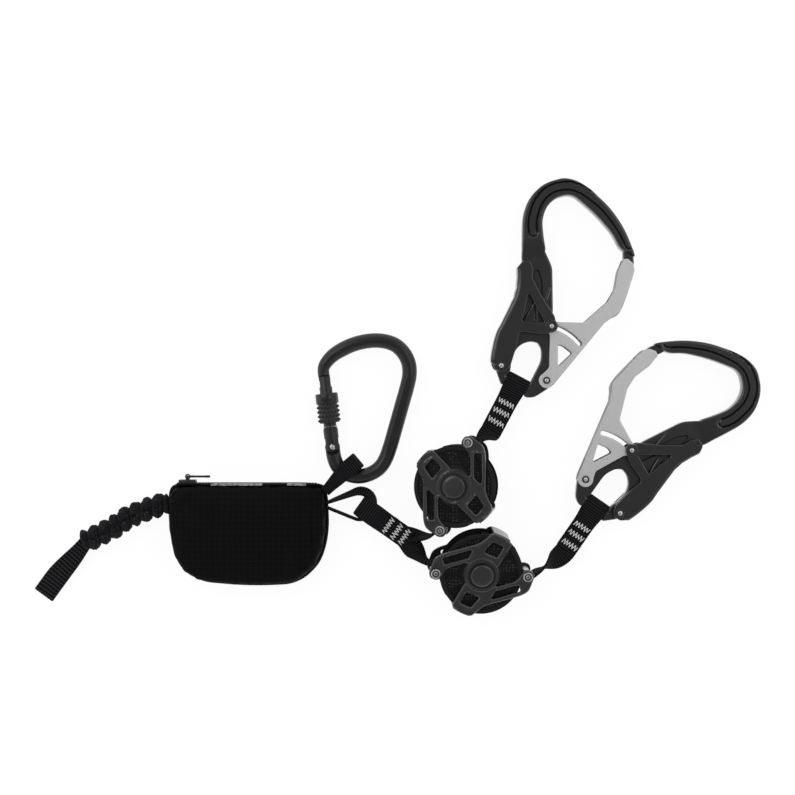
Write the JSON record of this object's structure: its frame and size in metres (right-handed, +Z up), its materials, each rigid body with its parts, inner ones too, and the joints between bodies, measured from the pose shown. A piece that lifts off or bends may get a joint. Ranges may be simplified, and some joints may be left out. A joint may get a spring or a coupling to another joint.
{
  "type": "via ferrata lanyard",
  "caption": "Energy-absorbing climbing lanyard with a zipped pouch, screw-gate anchor carabiner, webbing reels and palm-lock carabiners on its arms.",
  "frame": {"origin": "centre of the pouch's underside, the face that lies against the wearer", "axes": "+X along the lanyard from the leash to the carabiners, +Y towards the palm carabiners' far side in the laid-out plane, +Z up from the surface it lies on"},
  "size_m": [0.5328, 0.319, 0.0346],
  "materials": {
    "webbing": "matte woven polyamide",
    "fabric": "coated ripstop",
    "binding": "smooth tape",
    "tear_webbing": "folded and stitched webbing",
    "anodised": "black anodised",
    "satin": "satin anodised",
    "plastic": "moulded satin",
    "spool_plastic": "textured",
    "steel": "bright"
  },
  "bodies": {
    "lanyard": {"absorber_loop": "webbing", "absorber_pack": "tear_webbing", "harness_loop": "webbing", "lanyard_yoke": "webbing", "leash_sleeve": "webbing", "leash_tail": "webbing", "palm_a_strap": "webbing", "palm_b_strap": "webbing", "pouch_back": "fabric", "pouch_binding": "binding", "pouch_front": "fabric", "reel_a_axle": "steel", "reel_a_frame_front": "plastic", "reel_a_frame_rear": "plastic", "reel_a_guide_post_bottom": "steel", "reel_a_guide_post_top": "steel", "reel_a_hub_cap_front": "plastic", "reel_a_hub_cap_rear": "plastic", "reel_a_lead": "webbing", "reel_a_power_spring": "steel", "reel_b_axle": "steel", "reel_b_frame_front": "plastic", "reel_b_frame_rear": "plastic", "reel_b_guide_post_bottom": "steel", "reel_b_guide_post_top": "steel", "reel_b_hub_cap_front": "plastic", "reel_b_hub_cap_rear": "plastic", "reel_b_power_spring": "steel", "zip_tape": "fabric"},
    "reel_a_spool_body": {"reel_a_spool": "spool_plastic", "reel_a_coil_inlet": "webbing", "reel_a_coil_outlet": "webbing"},
    "palm_a_carabiner": {"palm_a_body": "anodised", "palm_a_gate_pin": "steel", "palm_a_lever_pin": "steel", "palm_a_gate_spring": "steel", "palm_a_lever_spring": "steel"},
    "palm_a_gate_body": {"palm_a_gate": "satin"},
    "palm_a_lever_body": {"palm_a_lever": "anodised", "palm_a_lock_pin": "steel"},
    "reel_b_spool_body": {"reel_b_spool": "spool_plastic", "reel_b_coil_inlet": "webbing", "reel_b_coil_outlet": "webbing"},
    "palm_b_carabiner": {"palm_b_body": "anodised", "palm_b_gate_pin": "steel", "palm_b_lever_pin": "steel", "palm_b_gate_spring": "steel", "palm_b_lever_spring": "steel"},
    "palm_b_gate_body": {"palm_b_gate": "satin"},
    "palm_b_lever_body": {"palm_b_lever": "anodised", "palm_b_lock_pin": "steel"},
    "anchor_carabiner": {"anchor_body": "anodised", "anchor_gate_pin": "steel"},
    "anchor_gate_body": {"anchor_gate": "anodised"},
    "anchor_sleeve_body": {"anchor_sleeve": "anodised"},
    "zip_slider_body": {"zip_slider": "steel"},
    "zip_puller_body": {"zip_puller": "steel"}
  },
  "joints": [
    {"name": "palm_a_swing", "type": "hinge", "parent": "lanyard", "child": "palm_a_carabiner", "pos_m": [0.19678, 0.11059, 0.0095], "axis": [0.8838, -0.4679, 0], "range_deg": [0, 90]},
    {"name": "palm_a_gate_swing", "type": "hinge", "parent": "palm_a_carabiner", "child": "palm_a_gate_body", "pos_m": [0.21865, 0.11318, 0.0095], "axis": [0, 0, 1], "range_deg": [0, 32], "stiffness_Nm_per_rad": 0.3, "springref_deg": -17.19},
    {"name": "palm_a_lever_squeeze", "type": "hinge", "parent": "palm_a_carabiner", "child": "palm_a_lever_body", "pos_m": [0.18544, 0.12404, 0.0095], "axis": [0, 0, -1], "range_deg": [0, 6]},
    {"name": "reel_a_spin", "type": "hinge", "parent": "lanyard", "child": "reel_a_spool_body", "pos_m": [0.1526, 0.03629, 0.01679], "axis": [-0.1736, -0.0039, 0.9848], "range_deg": [0, 900], "stiffness_Nm_per_rad": 0.002, "springref_deg": -171.89},
    {"name": "palm_b_swing", "type": "hinge", "parent": "lanyard", "child": "palm_b_carabiner", "pos_m": [0.25492, 0.02027, 0.0095], "axis": [0.8221, -0.5693, 0], "range_deg": [0, 90]},
    {"name": "palm_b_gate_swing", "type": "hinge", "parent": "palm_b_carabiner", "child": "palm_b_gate_body", "pos_m": [0.24716, 0.04088, 0.0095], "axis": [0, 0, -1], "range_deg": [0, 32], "stiffness_Nm_per_rad": 0.3, "springref_deg": -17.19},
    {"name": "palm_b_lever_squeeze", "type": "hinge", "parent": "palm_b_carabiner", "child": "palm_b_lever_body", "pos_m": [0.27208, 0.01639, 0.0095], "axis": [0, 0, 1], "range_deg": [0, 6]},
    {"name": "reel_b_spin", "type": "hinge", "parent": "lanyard", "child": "reel_b_spool_body", "pos_m": [0.17015, -0.0257, 0.01679], "axis": [0.0487, -0.1667, 0.9848], "range_deg": [0, 900], "stiffness_Nm_per_rad": 0.002, "springref_deg": -171.89},
    {"name": "anchor_swing", "type": "hinge", "parent": "lanyard", "child": "anchor_carabiner", "pos_m": [0.07028, 0.04583, 0.0088], "axis": [0.8188, -0.574, 0], "range_deg": [0, 80]},
    {"name": "anchor_gate_swing", "type": "hinge", "parent": "anchor_carabiner", "child": "anchor_gate_body", "pos_m": [0.0621, 0.06442, 0.0088], "axis": [0, 0, -1], "range_deg": [0, 28], "stiffness_Nm_per_rad": 0.2, "springref_deg": -17.19},
    {"name": "anchor_sleeve_travel", "type": "slide", "parent": "anchor_gate_body", "child": "anchor_sleeve_body", "axis": [-0.1149, 0.9934, 0], "range_m": [0, 0.0155]},
    {"name": "zip_slide", "type": "slide", "parent": "lanyard", "child": "zip_slider_body", "axis": [1, 0, 0], "range_m": [0, 0.087]},
    {"name": "zip_pull", "type": "hinge", "parent": "zip_slider_body", "child": "zip_puller_body", "pos_m": [-0.04375, 0.04292, 0.01288], "axis": [0, 0, 1], "range_deg": [0, 170]}
  ],
  "couplings": [
    {"joint": "palm_a_lever_squeeze", "follows": "palm_a_gate_swing", "ratio": 0.1875},
    {"joint": "palm_b_lever_squeeze", "follows": "palm_b_gate_swing", "ratio": 0.1875}
  ]
}
